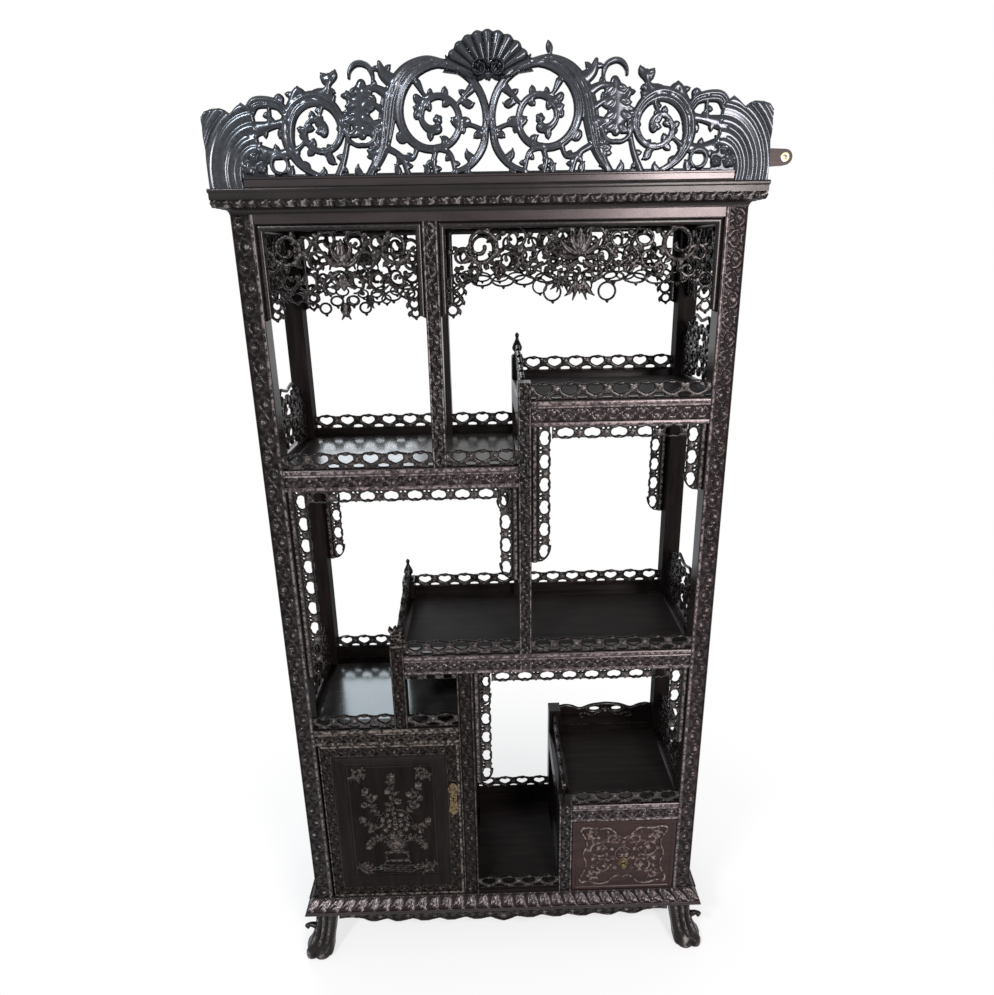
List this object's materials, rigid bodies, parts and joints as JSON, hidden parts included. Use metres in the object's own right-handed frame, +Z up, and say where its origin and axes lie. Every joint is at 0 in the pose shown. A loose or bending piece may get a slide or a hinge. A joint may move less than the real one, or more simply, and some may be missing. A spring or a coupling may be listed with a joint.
{
  "type": "chinese carved display cabinet",
  "caption": "Tall open display cabinet of dark carved wood with stepped shelves, pierced galleries and borders, a hinged cupboard, a drawer, a scroll crest and claw feet.",
  "frame": {"origin": "on the ground, in the middle of the overall box in X and Y", "axes": "+X to the right of someone who faces the cabinet, +Y from the front to the back, +Z up"},
  "size_m": [1.1144, 0.4406, 2.184],
  "materials": {
    "rosewood": "satin, near black, carved",
    "polished_rosewood": "polished",
    "red_rosewood": "satin, reddish brown",
    "brass": "dull, aged"
  },
  "bodies": {
    "cabinet": {"base_board": "polished_rosewood", "base_end_rails": "rosewood", "base_moulding": "rosewood", "base_skirts": "rosewood", "cornice": "rosewood", "crest_left": "rosewood", "crest_lug": "rosewood", "crest_rail": "red_rosewood", "crest_right": "rosewood", "crest_shell": "rosewood", "cupboard_case": "rosewood", "cupboard_top_board": "polished_rosewood", "cupboard_top_gallery": "rosewood", "cupboard_top_rails": "rosewood", "divider_a": "rosewood", "divider_b": "rosewood", "divider_c": "rosewood", "divider_d": "rosewood", "divider_e": "rosewood", "drawer_case": "rosewood", "drawer_runners": "rosewood", "drawer_top_board": "polished_rosewood", "drawer_top_gallery": "rosewood", "drawer_top_rails": "red_rosewood", "feet": "rosewood", "floor_board": "polished_rosewood", "floor_gallery": "rosewood", "left_end_frets": "rosewood", "left_shelf_board": "polished_rosewood", "left_shelf_gallery": "rosewood", "left_shelf_rails": "rosewood", "lower_right_border": "rosewood", "lug_eyelet": "brass", "middle_left_border": "rosewood", "middle_right_border": "rosewood", "middle_shelf_board": "polished_rosewood", "middle_shelf_gallery": "rosewood", "middle_shelf_rails": "rosewood", "niche_border": "rosewood", "post_front_left": "rosewood", "post_front_right": "rosewood", "post_rear_left": "rosewood", "post_rear_right": "rosewood", "right_end_frets": "rosewood", "right_shelf_board": "polished_rosewood", "right_shelf_gallery": "rosewood", "right_shelf_rails": "rosewood", "top_board": "polished_rosewood", "top_rails": "rosewood", "upper_left_apron": "rosewood", "upper_right_apron": "rosewood"},
    "door": {"door_frame": "rosewood", "door_panel": "rosewood", "door_pivot_pins": "brass", "lock_plate": "brass"},
    "drawer": {"drawer_front": "red_rosewood", "drawer_box": "rosewood", "drawer_knob": "brass"}
  },
  "joints": [
    {"name": "door_hinge", "type": "hinge", "parent": "cabinet", "child": "door", "pos_m": [-0.4543, -0.161, 0.42], "axis": [0, 0, -1], "range_deg": [0, 95]},
    {"name": "drawer_slide", "type": "slide", "parent": "cabinet", "child": "drawer", "axis": [0, -1, 0], "range_m": [0, 0.24]}
  ]
}
